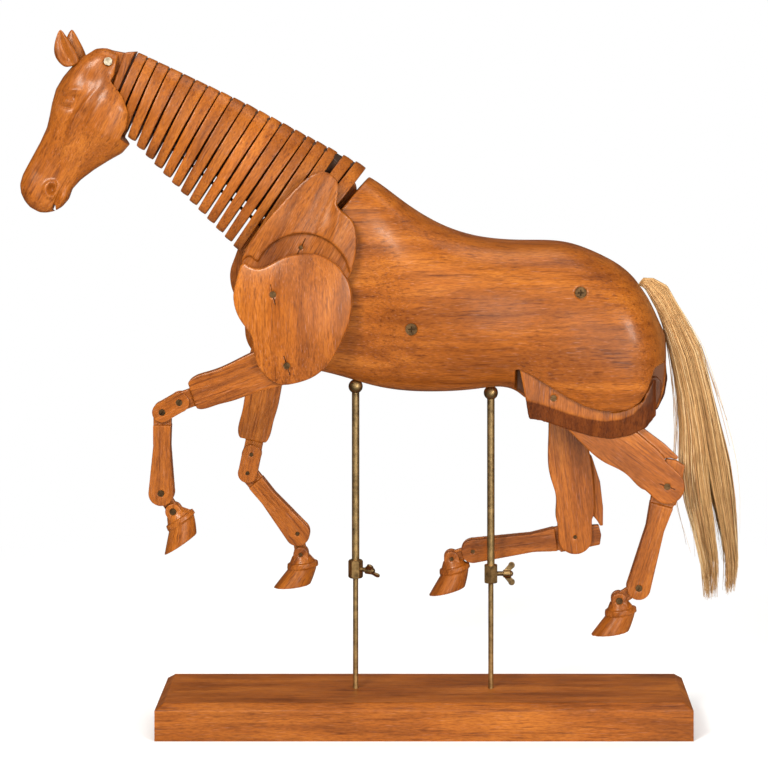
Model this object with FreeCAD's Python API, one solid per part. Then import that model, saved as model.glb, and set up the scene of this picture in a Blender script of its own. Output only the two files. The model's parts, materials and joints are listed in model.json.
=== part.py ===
import FreeCAD, Part
import math
import os
from FreeCAD import Vector

os.makedirs("parts", exist_ok=True)

# Jointed wooden horse on a brass stand. Millimetres, +Z up. The origin is the centre of the base's
# underside. The horse faces -X; its left side is -Y. Left limbs are built, right ones are mirrored.

# Base and stand
BASE_LENGTH = 442.0
BASE_DEPTH = 108.0
BASE_HEIGHT = 30.0
BASE_BEVEL_IN = 7.0
BASE_BEVEL_DROP = 5.0
ROD_R = 2.2
ROD_BOTTOM_Z = 6.0
ROD_TOP_Z = 215.0
TUBE_OUTER_R = 3.175
TUBE_INNER_R = 2.7
FRONT_BALL = (-57.8, 283.3)
REAR_BALL = (55.8, 277.9)
BALL_R = 6.0
SOCKET_R = 6.06
COLLAR_CORNER_R = 6.2
COLLAR_HEIGHT = 14.8
FRONT_COLLAR_Z = 122.7
REAR_COLLAR_Z = 118.6
WING_NECK_R = 1.95
WING_HOLE_R = 2.0
WING_SPREAD = 50.0

# Running fits
PIN_CLEARANCE = 0.05
SIDE_GAP = 0.1
HEAD_R = 2.7
HEAD_DEPTH = 1.3
SHANK_R = 1.7
SLOT_WIDTH = 0.8

# Trunk
CORE_HALF = 14.0
TRUNK_SECTIONS = (
    # x, top, bottom, half width
    (-142, 392, 338, 20), (-122, 430, 310, 26), (-95, 458, 298, 30), (-70, 466, 292, 32),
    (-46, 459, 285, 34), (-20, 440.5, 280.5, 42), (10, 421.5, 279.5, 46), (45, 409.5, 282, 48),
    (78, 406.3, 279.3, 47), (96, 406.2, 262, 48), (118, 404.6, 249, 50), (148, 394, 239, 52),
    (172, 378.5, 241, 52), (188, 357, 254, 45), (197.5, 337, 272, 31), (202, 324, 297, 12),
)
SECTION_POWER = 2.35
NECK_BASE_TOP = (-45.1, 460.9)
SHOULDER_SHELF = ((-92.6, 407.5), (-105, 407.5), (-128, 378), (-140, 370))
HIP = (146.5, 327.0)
CROTCH_LINE = ((72, 278), (90, 274), (120, 268), (150, 262), (172, 262), (186, 264), (215, 275))
POCKET_OUTER = 38.5
POCKET_TOP_R = 40.0
POCKET_LOW_R = 84.0
POCKET_FRONT_X = 75.5
POCKET_PLAN = ((60, -14), (60, -38.5), (168, -38.5), (180, -36.5), (190, -30), (197, -14))
THIGH_PLAN = ((60, -10), (60, -38), (152, -38), (170, -33), (182, -24.5), (189, -10))
THIGH_PLAN_LOW = ((60, -10), (60, -38), (178, -38), (189, -36), (197, -29), (201, -19), (201, -10))
THIGH_WIDE_R = 61.0
THIGH_HEEL = ((189.5, 294), (186.5, 288.5), (182.5, 281.5), (180.5, 274), (200, 274), (200, 292),
              (192.5, 294))
HAUNCH_EDGE = ((72, 303), (79.1, 301.5), (88.6, 297.5), (102.5, 289.5), (118.5, 279.5),
               (132.5, 272.5), (145.5, 269), (157.5, 268.5), (168.5, 270.5), (177.5, 276.5),
               (183.5, 285.5), (186.5, 293.5), (190, 304.5), (215, 312))
FLANK_SCREWS = ((-10.6, 336.3), (129.0, 366.5))
FLANK_SCREW_R = 4.8
FLANK_SCREW_FACE = 44.0
TAIL_ROOT = (180.2, 368.0)
TAIL_PEG_R = 3.5

# Front leg pivots and the angle of each piece from hanging straight down, positive to the rear
SCAPULA_PIVOT = (-101.7, 403.5)
SCAPULA_TO_SHOULDER = 43.7
SCAPULA_HANG = -30.7
HUMERUS_HANG = 11.0
SHOULDER_SWING = 10.0
SHOULDER_ROOM = 2.0
RECESS_CENTRE = (-100.6, 375.8)
RECESS_R = 40.0
SCAPULA_INNER = 34.5
SCAPULA_FACE = 40.4
HUMERUS_INNER = 40.5
HUMERUS_SCREW_FACE = 52.5
HUMERUS_LENGTH = 59.5
FOREARM_LENGTH = 95.0
KNEE_LENGTH = 16.2
FRONT_CANNON_LENGTH = 66.7
FRONT_PASTERN_LENGTH = 18.0
LEFT_FRONT = {"scapula": 0.0, "humerus": 0.0, "forearm": -70.3, "knee": -60.1,
              "cannon": -0.7, "pastern": 33.0, "hoof": 33.3}
RIGHT_FRONT = {"scapula": -15.9, "humerus": -6.0, "forearm": -11.6, "knee": -11.7,
               "cannon": 39.5, "pastern": 9.0, "hoof": 6.0}
LEG_Y = 34.0
FOREARM_HALF = 6.0
FOREARM_SHOULDER = 12.0
TONGUE_HALF = 3.5
KNEE_TONGUE_R = 7.6
KNEE_PLATE_R = 8.3
KNEE_PLATE_INNER = 3.6
KNEE_PLATE_OUTER = 6.4
FRONT_CANNON_HALF = 7.0

# Hind leg
THIGH_LENGTH = 62.4
THIGH_HANG = -39.5
THIGH_OUTER = 38.0
THIGH_INNER = 15.0
THIGH_BEVEL_FACE = ((70, 281), (85.3, 277.2), (97.7, 274.1), (118.3, 266.9), (134.8, 262.4),
                    (149.3, 260.3), (161.7, 261.7), (172, 265.7), (179, 272.3), (185.4, 282.4),
                    (188.5, 292.9), (188.5, 302), (188.5, 400), (70, 400))
THIGH_BEVEL_EDGE = ((70, 265), (85, 259), (97, 257.5), (119, 251), (137, 245.5), (154, 243),
                    (170.5, 245.5), (184, 252), (192.5, 263), (198, 276.5), (201, 289), (203, 302),
                    (203, 400), (70, 400))
THIGH_BEVEL_Y = 33.6
THIGH_SLOT = (18.0, 33.0)
THIGH_SLOT_TOP_Z = 305.0
HIP_PIN_R = 3.0
GASKIN_LENGTH = 120.0
HIND_CANNON_LENGTH = 87.5
HIND_PASTERN_LENGTH = 19.2
LEFT_HIND = {"thigh": 0.0, "gaskin": 51.9, "cannon": -15.6, "pastern": -57.3, "hoof": 6.6}
RIGHT_HIND = {"thigh": 11.0, "gaskin": 5.2, "cannon": -81.9, "pastern": -71.3, "hoof": 14.0}
HIND_Y = 25.5
GASKIN_HALF = 7.0
HOCK_SLOT_HALF = 3.6
HOCK_TONGUE_HALF = 3.4
HOCK_ROOM_R = 23.0
HOCK_R = 14.5
HIND_CANNON_HALF = 6.5

# Feet, measured from the coffin pivot
PASTERN_HALF = 2.5
FORK_HALF = 2.6
HOOF_EAR_HALF = 7.2
HOOF_EAR_R = 6.4
HOOF_SOLE_Z = -26.5
HOOF_BAND_Z = -11.5

# Head and neck
HEAD_PIVOT = (-263.6, 556.6)
HEAD_LEAN = 28.1
HEAD_SLOT_HALF = 7.1
HEAD_BOLT_R = 2.5
HEAD_BOLT_HEAD_R = 3.5
HEAD_BOLT_SEAT = 14.5
THROAT_HALF = 17.0
CREST_TURN = (-149.2, 520.5)
CREST_UPPER_SLOPE = -0.474
CREST_LOWER_SLOPE = -0.531
SLICE_TOPS = (-240.0, -231.5, -223.0, -213.0, -202.0, -191.5, -181.0, -170.5, -160.2, -149.3,
              -138.6, -128.5, -118.7, -108.2, -98.0, -90.2, -80.6, -71.8)
SLICE_PITCH_LOW = (7.37, -7.6)
SLICE_D_LOW = (-238.4, 483.2)
GAP_TOP = 1.1
GAP_LOW = 3.4
SLICE_R = ((-67.9, -59.2), (-137.4, 381.5), (-133.8, 377.8))
SLICE_S = ((-57.5, -48.9), (-101.6, 416.4), (-92.6, 412.1))


def unit(dx, dz):
    length = math.hypot(dx, dz)
    return dx / length, dz / length


def prism(points, y0, y1, smooth=False):
    """Closed outline of (x, z) points, solid between the planes y0 and y1."""
    corners = [Vector(x, y0, z) for x, z in points]
    if smooth:
        curve = Part.BSplineCurve()
        curve.interpolate(corners, PeriodicFlag=True)
        wire = Part.Wire([curve.toShape()])
    else:
        wire = Part.makePolygon(corners + [corners[0]])
    return Part.Face(wire).extrude(Vector(0, y1 - y0, 0))


def disc(x, z, radius, y0, y1):
    """Round along Y."""
    return Part.makeCylinder(radius, y1 - y0, Vector(x, y0, z), Vector(0, 1, 0))


def box(x0, x1, y0, y1, z0, z1):
    return Part.makeBox(x1 - x0, y1 - y0, z1 - z0, Vector(x0, y0, z0))


def fuse(*shapes):
    whole = shapes[0]
    for shape in shapes[1:]:
        whole = whole.fuse(shape)
    return whole.removeSplitter()


def cut(shape, *tools):
    for tool in tools:
        shape = shape.cut(tool)
    return shape


def front_profile(points, depth):
    """Outline of (y, z) points mirrored about y = 0, solid along X."""
    right = [Vector(-depth, y, z) for y, z in points]
    left = [Vector(-depth, -y, z) for y, z in reversed(points)]
    wire = Part.makePolygon(right + left + [right[0]])
    return Part.Face(wire).extrude(Vector(2 * depth, 0, 0))


def plan_prism(points):
    """Outline of (x, y) points seen from above, solid through the trunk's height."""
    corners = [Vector(x, y, 190) for x, y in points]
    return Part.Face(Part.makePolygon(corners + [corners[0]])).extrude(Vector(0, 0, 240))


def slotted_screw(x, z, y_out, y_in):
    """Cheese-head screw entering towards +Y from the outer face at y_out."""
    head = disc(x, z, HEAD_R, y_out + 0.1, y_out + HEAD_DEPTH)
    shank = disc(x, z, SHANK_R, y_out + HEAD_DEPTH, y_in)
    slot = box(x - HEAD_R, x + HEAD_R, y_out - 1, y_out + 0.7, z - SLOT_WIDTH / 2, z + SLOT_WIDTH / 2)
    slot.rotate(Vector(x, 0, z), Vector(0, 1, 0), 60)
    return fuse(head, shank).cut(slot)


def screw_room(x, z, y_out, y_in):
    """Hole and counterbore for slotted_screw, with a running clearance all round."""
    recess = disc(x, z, HEAD_R + SIDE_GAP, y_out - 12, y_out + HEAD_DEPTH + PIN_CLEARANCE)
    hole = disc(x, z, SHANK_R + PIN_CLEARANCE, y_out, y_in + 0.3)
    return recess.fuse(hole)


def place(shape, angle, pivot):
    """Turn a piece built hanging from the origin and hang it on its pivot."""
    moved = shape.copy()
    moved.rotate(Vector(0, 0, 0), Vector(0, 1, 0), -angle)
    moved.translate(Vector(pivot[0], 0, pivot[1]))
    return moved


def next_pivot(pivot, angle, length):
    turn = math.radians(angle)
    return pivot[0] + length * math.sin(turn), pivot[1] - length * math.cos(turn)


def save(name, shape):
    if shape.ShapeType == "Compound" and len(shape.Solids) == 1:
        shape = shape.Solids[0]
    if not shape.isValid():
        raise ValueError(name + " is not a valid solid")
    shape.exportStep("parts/" + name + ".step")


def save_sides(name, left_shape, right_shape):
    save("left_" + name, left_shape)
    save("right_" + name, right_shape.mirror(Vector(0, 0, 0), Vector(0, 1, 0)))


# ---- stand ----

def build_base():
    half_x = BASE_LENGTH / 2
    half_y = BASE_DEPTH / 2
    side_z = BASE_HEIGHT - BASE_BEVEL_DROP
    lower = box(-half_x, half_x, -half_y, half_y, 0, side_z)
    bottom_ring = [Vector(sx * half_x, sy * half_y, side_z) for sx, sy in
                   ((-1, -1), (1, -1), (1, 1), (-1, 1))]
    top_ring = [Vector(sx * (half_x - BASE_BEVEL_IN), sy * (half_y - BASE_BEVEL_IN), BASE_HEIGHT)
                for sx, sy in ((-1, -1), (1, -1), (1, 1), (-1, 1))]
    rings = [Part.makePolygon(ring + [ring[0]]) for ring in (bottom_ring, top_ring)]
    board = fuse(lower, Part.makeLoft(rings, True, True))
    for ball in (FRONT_BALL, REAR_BALL):
        board = board.cut(Part.makeCylinder(ROD_R, BASE_HEIGHT, Vector(ball[0], 0, ROD_BOTTOM_Z)))
    return board


def build_rod(ball):
    rod = Part.makeCylinder(ROD_R, ROD_TOP_Z - ROD_BOTTOM_Z, Vector(ball[0], 0, ROD_BOTTOM_Z))
    return rod.makeChamfer(0.5, rod.Edges[:1])


def build_tube(ball, collar_z):
    tube = Part.makeCylinder(TUBE_OUTER_R, ball[1] - collar_z, Vector(ball[0], 0, collar_z))
    sphere = Part.makeSphere(BALL_R, Vector(ball[0], 0, ball[1]))
    bore = Part.makeCylinder(TUBE_INNER_R, ball[1] - BALL_R - collar_z, Vector(ball[0], 0, collar_z))
    return fuse(tube, sphere).cut(bore)


def build_collar(ball, collar_z, screw_angle, flat_turn):
    corners = []
    for side in range(6):
        turn = math.radians(60 * side + flat_turn)
        corners.append(Vector(ball[0] + COLLAR_CORNER_R * math.cos(turn),
                              COLLAR_CORNER_R * math.sin(turn), collar_z))
    hexagon = Part.Face(Part.makePolygon(corners + [corners[0]])).extrude(Vector(0, 0, COLLAR_HEIGHT))
    centre = Vector(ball[0], 0, collar_z)
    lower = Part.makeCone(5.4, COLLAR_CORNER_R, 0.9, centre)
    middle = Part.makeCylinder(COLLAR_CORNER_R, COLLAR_HEIGHT - 1.8, centre + Vector(0, 0, 0.9))
    upper = Part.makeCone(COLLAR_CORNER_R, 5.4, 0.9, centre + Vector(0, 0, COLLAR_HEIGHT - 0.9))
    body = hexagon.common(fuse(lower, middle, upper))
    bore = Part.makeCylinder(TUBE_OUTER_R, COLLAR_HEIGHT, centre)
    hole = Part.makeCylinder(WING_HOLE_R, 12, centre + Vector(0, 0, COLLAR_HEIGHT / 2),
                             Vector(math.cos(screw_angle), math.sin(screw_angle), 0))
    return body.cut(bore).cut(hole)


def build_wing_screw(ball, collar_z, screw_angle, wing_turn):
    """Built along +X from the rod axis, then turned to its own direction."""
    axis = Vector(1, 0, 0)
    shank = Part.makeCylinder(WING_NECK_R, 8.5, Vector(TUBE_OUTER_R + 0.1, 0, 0), axis)
    hub = Part.makeCylinder(3.2, 6.2, Vector(10.3, 0, 0), axis)
    nose = Part.makeSphere(2.4, Vector(16.5, 0, 0))
    screw = fuse(shank, hub, nose)
    for side in (-1, 1):
        blade = Part.makeBox(7.6, 1.8, 4.6, Vector(0, -0.9, -2.3))
        lobe = Part.makeCylinder(2.75, 1.8, Vector(7.6, -0.9, 0), Vector(0, 1, 0))
        wing = fuse(blade, lobe)
        wing.rotate(Vector(0, 0, 0), Vector(0, 1, 0), -side * WING_SPREAD)
        wing.translate(Vector(12.5, 0, side * 1.2))
        screw = fuse(screw, wing)
    screw.rotate(Vector(0, 0, 0), axis, wing_turn)
    screw.rotate(Vector(0, 0, 0), Vector(0, 0, 1), math.degrees(screw_angle))
    screw.translate(Vector(ball[0], 0, collar_z + COLLAR_HEIGHT / 2))
    return screw


# ---- trunk ----

def trunk_ring(x, top, bottom, half_width):
    centre = (top + bottom) / 2
    half_height = (top - bottom) / 2
    points = []
    for step in range(16):
        turn = 2 * math.pi * step / 16
        across = math.copysign(abs(math.cos(turn)) ** (2 / SECTION_POWER), math.cos(turn))
        up = math.copysign(abs(math.sin(turn)) ** (2 / SECTION_POWER), math.sin(turn))
        points.append(Vector(x, half_width * across, centre + half_height * up))
    curve = Part.BSplineCurve()
    curve.interpolate(points, PeriodicFlag=True)
    return Part.Wire([curve.toShape()])


def build_trunk_block():
    block = Part.makeLoft([trunk_ring(*row) for row in TRUNK_SECTIONS], True, False)
    neck_room = prism((NECK_BASE_TOP,) + SHOULDER_SHELF + ((-200, 366), (-200, 560), (-45.1, 560)), -80, 80)
    return block.cut(neck_room)


def build_core(block):
    core = block.common(box(-250, 250, -CORE_HALF, CORE_HALF, 200, 520))
    core = core.cut(prism(CROTCH_LINE + ((215, 200), (72, 200)), -CORE_HALF, CORE_HALF))
    for ball in (FRONT_BALL, REAR_BALL):
        core = core.cut(Part.makeSphere(SOCKET_R, Vector(ball[0], 0, ball[1])))
        core = core.cut(Part.makeCone(SOCKET_R, SOCKET_R + 2, 12, Vector(ball[0], 0, ball[1]),
                                      Vector(0, 0, -1)))
    tail_hole = Part.makeCylinder(TAIL_PEG_R + 2.6, 40, Vector(TAIL_ROOT[0] - 10, 0, TAIL_ROOT[1] - 2),
                                  Vector(0.95, 0, -0.1))
    return core.cut(tail_hole)


def hip_pin(radius):
    return disc(HIP[0], HIP[1], radius, -POCKET_OUTER, -CORE_HALF)


def scapula_pin(radius, y_out):
    return disc(SCAPULA_PIVOT[0], SCAPULA_PIVOT[1], radius, y_out, -CORE_HALF - 4)


def flank_screw_parts(x, z):
    """Head and shank of one flank screw, and the room it needs, on the left side."""
    face = -FLANK_SCREW_FACE
    seat = face + 3
    head = disc(x, z, FLANK_SCREW_R, face, seat)
    shank = disc(x, z, FLANK_SCREW_R / 2, seat, -CORE_HALF)
    room = disc(x, z, FLANK_SCREW_R, -60, seat)
    recess = box(x - 2.6, x + 2.6, face - 1, face + 1, z - 0.6, z + 0.6)
    cross = box(x - 0.6, x + 0.6, face - 1, face + 1, z - 2.6, z + 2.6)
    return cut(fuse(head, shank), recess, cross), room.fuse(shank)


def build_flank(block):
    flank = block.common(box(-250, 250, -80, -CORE_HALF, 200, 520))
    chest = box(-170, -70, -80, -27, 270, 344)
    plan = plan_prism(POCKET_PLAN)
    pocket = disc(HIP[0], HIP[1], POCKET_TOP_R, -60, 0).common(plan)
    pocket = pocket.fuse(disc(HIP[0], HIP[1], POCKET_LOW_R, -60, 0).common(plan).common(
        box(POCKET_FRONT_X, 240, -60, 0, 200, HIP[1])))
    below = prism(HAUNCH_EDGE + ((215, 200), (72, 200)), -80, -CORE_HALF)
    below = below.common(box(POCKET_FRONT_X, 240, -80, 0, 190, 320))
    flank = cut(flank, chest, pocket, below, scapula_pin(SHANK_R, -60))
    for x, z in FLANK_SCREWS:
        flank = flank.cut(flank_screw_parts(x, z)[1])
    return flank


def build_trunk_screws():
    left = [flank_screw_parts(x, z)[0] for x, z in FLANK_SCREWS]
    left.append(scapula_pin(SHANK_R, -39.9))
    left.append(hip_pin(HIP_PIN_R))
    right = [pin.mirror(Vector(0, 0, 0), Vector(0, 1, 0)) for pin in left]
    return Part.makeCompound(left + right)


# ---- head and neck ----

def build_head():
    outline = ((-296.5, 551.1), (-309.4, 532.9), (-314.2, 511.5), (-322.3, 489), (-334, 467.5),
               (-339.4, 450.4), (-331.9, 435.4), (-319, 430.4), (-303, 436.5), (-295.5, 449.3),
               (-281.5, 462.2), (-260.1, 475), (-247.3, 486.8), (-240.8, 507.2), (-244, 525.4),
               (-252, 541), (-250, 556), (-258, 564.5), (-273, 565.6), (-286, 560.5))
    side = prism(outline, -30, 30, True)
    widths = ((16, 14), (20.5, -8), (22, -38), (21, -62), (14, -92), (11, -112), (13, -128),
              (12, -142), (6, -152), (6, 20))
    front = front_profile(sorted(widths, key=lambda row: row[1]), 90)
    front.rotate(Vector(0, 0, 0), Vector(0, 1, 0), HEAD_LEAN)
    front.translate(Vector(HEAD_PIVOT[0], 0, HEAD_PIVOT[1]))
    skull = side.common(front)
    x, z = HEAD_PIVOT
    slot = fuse(disc(x, z, 21, -HEAD_SLOT_HALF, HEAD_SLOT_HALF),
                box(x, x + 45, -HEAD_SLOT_HALF, HEAD_SLOT_HALF, z - 35, z + 20))
    neck_room = prism(((-252, 580), (-259, 545), (-276, 513), (-268, 498), (-252, 482.5), (-238, 475),
                       (-200, 476), (-200, 580)),
                      -THROAT_HALF, THROAT_HALF)
    seat_r = HEAD_BOLT_HEAD_R + SIDE_GAP
    return cut(skull, slot, neck_room, disc(x, z, HEAD_BOLT_R + PIN_CLEARANCE, -40, 40),
               disc(x, z, seat_r, -40, -HEAD_BOLT_SEAT), disc(x, z, seat_r, HEAD_BOLT_SEAT, 40))


def build_ear(side):
    outline = ((-303.4, 585.5), (-306.8, 577), (-304, 561), (-294.8, 553), (-284.5, 557.5),
               (-288, 567), (-293.8, 575))
    ear = prism(outline, -5, 5, True)
    ear.translate(Vector(0 if side < 0 else 7, side * 10.5, 0 if side < 0 else -3))
    return ear


def crest_z(x):
    slope = CREST_UPPER_SLOPE if x < CREST_TURN[0] else CREST_LOWER_SLOPE
    return CREST_TURN[1] + slope * (x - CREST_TURN[0])


def slice_solid(top_left, top_right, low_left, low_right, half_width):
    """Wedge board: side outline by four (x, z) corners, egg-shaped when seen along the neck."""
    side = prism((top_left, top_right, low_right, low_left), -60, 60)
    top_x = (top_left[0] + top_right[0]) / 2
    top_z = (top_left[1] + top_right[1]) / 2
    low_x = (low_left[0] + low_right[0]) / 2
    low_z = (low_left[1] + low_right[1]) / 2
    length = math.hypot(top_x - low_x, top_z - low_z)
    along = Vector(top_x - low_x, 0, top_z - low_z).normalize()
    normal = Vector(along.z, 0, -along.x)
    points = []
    for across, up in ((0, 0), (0.62, 0.07), (0.95, 0.3), (1, 0.52), (0.8, 0.76), (0.42, 0.94), (0, 1)):
        points.append((across * half_width, up * length))
    ring = points + [(-across, up) for across, up in reversed(points[1:-1])]
    base = Vector(low_x, 0, low_z) - normal * 14
    curve = Part.BSplineCurve()
    curve.interpolate([base + along * up + Vector(0, across, 0) for across, up in ring],
                      PeriodicFlag=True)
    egg = Part.Face(Part.Wire([curve.toShape()])).extrude(normal * 28)
    return side.common(egg)


def slice_corners(index):
    """Corners of slice number index, counted from the head; the closely set ones."""
    last = len(SLICE_TOPS) - 2
    left_x = SLICE_TOPS[index]
    right_x = SLICE_TOPS[index + 1] - GAP_TOP
    low_x = SLICE_D_LOW[0] + SLICE_PITCH_LOW[0] * (index - 3)
    low_z = SLICE_D_LOW[1] + SLICE_PITCH_LOW[1] * (index - 3)
    run_x, run_z = unit(*SLICE_PITCH_LOW)
    half = (math.hypot(*SLICE_PITCH_LOW) - GAP_LOW) / 2
    low_left = (low_x - run_x * half, low_z - run_z * half)
    low_right = (low_x + run_x * half, low_z + run_z * half)
    width = 14.5 + 12.0 * index / last
    return (left_x, crest_z(left_x)), (right_x, crest_z(right_x)), low_left, low_right, width


def wide_slice(top_xs, low_left, low_right, width):
    tops = [(x, crest_z(x)) for x in top_xs]
    return slice_solid(tops[0], tops[1], low_left, low_right, width)


def build_poll_block():
    x, z = HEAD_PIVOT
    tongue = fuse(disc(x, z, 9, -7, 7), prism(((x, z - 9), (x, z + 9), (-244, 562), (-262, 518)), -7, 7))
    back = prism(((-250, 564), (-241.8, crest_z(-241.8)), (-265, 510.8), (-268.5, 514.4)), -13, 13)
    return fuse(tongue, back).cut(disc(x, z, HEAD_BOLT_R + PIN_CLEARANCE, -10, 10))


def build_head_screw():
    x, z = HEAD_PIVOT
    end = HEAD_BOLT_SEAT + 2.7
    return fuse(disc(x, z, HEAD_BOLT_R, -end + 1, end - 1),
                disc(x, z, HEAD_BOLT_HEAD_R, -end, -HEAD_BOLT_SEAT),
                disc(x, z, HEAD_BOLT_HEAD_R, HEAD_BOLT_SEAT, end))


# ---- tail ----

def build_tail():
    path = ((3, -1, 5), (11, -7, 7.5), (18, -20, 9), (30, -45, 12), (39, -80, 13), (46, -120, 15.5),
            (51, -160, 18), (56, -200, 18), (61, -235, 15), (64, -262, 8))
    x, z = TAIL_ROOT
    rings = []
    for dx, dz, radius in path:
        centre = Vector(x + 6 + dx, 0, z + dz)
        fall = min(1.0, -dz / 45)
        normal = Vector(1 - 0.85 * fall, 0, -0.15 - 0.85 * fall)
        ellipse = Part.makeCircle(radius, centre, normal)
        rings.append(Part.Wire([ellipse]))
    hair = Part.makeLoft(rings, True, False)
    peg = Part.makeCylinder(TAIL_PEG_R, 18, Vector(x - 5, 0, z - 2), Vector(0.95, 0, -0.1))
    return fuse(hair, peg)


# ---- limbs, each built hanging from its upper pivot at the origin, centred on y = 0 ----

def link_side(length, top_r, low_r, waist):
    """Side outline of a long limb bone: round head, waist and round foot."""
    return fuse(disc(0, 0, top_r, -20, 20), disc(0, -length, low_r, -20, 20),
                prism(((-top_r, 0), (top_r, 0), (waist, -length * 0.42), (low_r, -length),
                       (-low_r, -length), (-waist, -length * 0.42)), -20, 20))


def slotted_foot(shape, length):
    """Open a fork at the lower pivot for the next piece's tongue."""
    return shape.cut(box(-30, 30, -FORK_HALF, FORK_HALF, -length - 30, -length + 11))


def scapula_outline():
    return ((-148.6, 398.2), (-141.7, 410), (-118.1, 439.4), (-100, 458), (-84, 465.9), (-73, 460),
               (-71, 449), (-72, 439), (-60.5, 427.1), (-56, 413), (-57.2, 393), (-66, 372),
               (-85, 358), (-112, 347), (-135, 352), (-149, 375))


def build_front_cannon():
    """Tongue between the knee plates, solid shaft, fork at the fetlock."""
    length = FRONT_CANNON_LENGTH
    side = link_side(length, KNEE_TONGUE_R, 10.5, 7.0)
    shaft = side.common(box(-40, 40, -FRONT_CANNON_HALF, FRONT_CANNON_HALF, -length - 20,
                            -KNEE_TONGUE_R - 3))
    tongue = side.common(box(-40, 40, -TONGUE_HALF, TONGUE_HALF, -KNEE_TONGUE_R - 4, 40))
    cannon = slotted_foot(fuse(shaft, tongue), length)
    return cut(cannon, disc(0, 0, SHANK_R + PIN_CLEARANCE, -20, 20),
               screw_room(0, -length, -FRONT_CANNON_HALF, FRONT_CANNON_HALF))


def knee_plate(y0, y1):
    """One of the two round-ended plates that link forearm and cannon."""
    plate = fuse(disc(0, 0, KNEE_PLATE_R, y0, y1), disc(0, -KNEE_LENGTH, KNEE_PLATE_R, y0, y1),
                 box(-KNEE_PLATE_R + 0.2, KNEE_PLATE_R - 0.2, y0, y1, -KNEE_LENGTH, 0))
    return cut(plate, disc(0, 0, SHANK_R, -20, 20), disc(0, -KNEE_LENGTH, SHANK_R, -20, 20))


def build_pastern(length):
    """Flat tongue with a round eye at each end."""
    return fuse(disc(0, 0, 6.2, -PASTERN_HALF, PASTERN_HALF),
                disc(0, -length, 5.2, -PASTERN_HALF, PASTERN_HALF),
                box(-5, 5, -PASTERN_HALF, PASTERN_HALF, -length, 0))


def ellipse_wire(centre_x, z, reach_x, reach_y):
    """Level ellipse, longer one way or the other."""
    wire = Part.makeCircle(1.0, Vector(0, 0, 0), Vector(0, 0, 1))
    matrix = FreeCAD.Matrix()
    matrix.scale(reach_x, reach_y, 1.0)
    matrix.move(Vector(centre_x, 0, z))
    return Part.Wire([wire.transformGeometry(matrix).Edges[0]])


def build_hoof():
    """Sloping wall, coronet band, narrowing crown and two ears with a fork for the pastern."""
    wall = Part.makeLoft([ellipse_wire(-10.6, HOOF_SOLE_Z, 15.8, 13.8),
                          ellipse_wire(-5.0, -19.0, 14.2, 12.6),
                          ellipse_wire(0.2, HOOF_BAND_Z, 12.0, 11.2)], True, False)
    band_top = HOOF_BAND_Z + 4
    band = Part.makeLoft([ellipse_wire(0.2, HOOF_BAND_Z, 13.4, 12.2),
                          ellipse_wire(0.6, band_top, 13.0, 11.8)], True, True)
    crown = Part.makeLoft([ellipse_wire(0.6, band_top, 11.4, 10.2),
                           ellipse_wire(0, -1.5, 7.6, 7.9)], True, True)
    ears = disc(0, 0, HOOF_EAR_R, -HOOF_EAR_HALF, HOOF_EAR_HALF)
    ears = ears.fuse(box(-HOOF_EAR_R, HOOF_EAR_R, -HOOF_EAR_HALF, HOOF_EAR_HALF, HOOF_BAND_Z + 2, 0))
    fork = fuse(disc(0, 0, 7.4, -FORK_HALF, FORK_HALF), box(-30, 30, -FORK_HALF, FORK_HALF, 0, 30),
                box(0, 30, -FORK_HALF, FORK_HALF, -7.4, 1))
    return fuse(wall, band, crown, ears).cut(fork)


def build_foot(length, cannon_half):
    """Pastern, its fetlock and coffin screws, and the hoof they carry."""
    pastern = build_pastern(length)
    screws = []
    for z, outer in ((0, -cannon_half), (-length, -HOOF_EAR_HALF)):
        pastern = pastern.cut(disc(0, z, SHANK_R, -20, 20))
        screws.append(slotted_screw(0, z, outer, -outer - 1))
    hoof = cut(build_hoof(), screw_room(0, 0, -HOOF_EAR_HALF, HOOF_EAR_HALF))
    return pastern, Part.makeCompound(screws), hoof


# ---- front leg ----

def turned(shape, pivot, angle):
    moved = shape.copy()
    moved.rotate(Vector(pivot[0], 0, pivot[1]), Vector(0, 1, 0), -angle)
    return moved


def shift_y(shape, distance):
    moved = shape.copy()
    moved.translate(Vector(0, distance, 0))
    return moved


def humerus_outline():
    return ((-146.3, 390.2), (-133.8, 387), (-118, 394.8), (-104, 398.3), (-89, 398.2), (-75, 392),
            (-63.5, 378.5), (-59.3, 364), (-60.4, 347), (-67, 328), (-78, 309), (-92, 297),
            (-106.3, 292), (-118.5, 291), (-129, 297), (-137, 307.5), (-140, 321), (-142.5, 332.5),
            (-149, 341.5), (-155.5, 354), (-157, 366), (-154, 379))


def dome(x, z, radius, face_y, rise):
    """Shallow spherical cap bulging towards -Y, its flat side on the plane face_y."""
    ball_r = (radius ** 2 + rise ** 2) / (2 * rise)
    ball = Part.makeSphere(ball_r, Vector(x, face_y - rise + ball_r, z))
    return ball.common(box(x - 200, x + 200, face_y - rise - 1, face_y, z - 200, z + 200))


def build_scapula(shoulder_home):
    """Shoulder blade: shallow dome, with a recess that the humerus swings in."""
    blade = prism(scapula_outline(), -47, -SCAPULA_INNER, True)
    blade = blade.common(dome(-100, 400, 92, -SCAPULA_INNER, 11))
    room = prism(humerus_outline(), -60, -SCAPULA_FACE, True).makeOffsetShape(SHOULDER_ROOM, 0.01)
    room = room.common(box(-250, 50, -80, -SCAPULA_FACE, 200, 500))
    for step in (-1, -0.5, 0, 0.5, 1):
        blade = blade.cut(turned(room, shoulder_home, step * SHOULDER_SWING))
    pivot_r = SHANK_R + PIN_CLEARANCE
    return cut(blade, disc(*RECESS_CENTRE, RECESS_R, -60, -SCAPULA_FACE),
               disc(*SCAPULA_PIVOT, pivot_r, -60, -30), disc(*shoulder_home, pivot_r, -60, -30))


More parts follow.
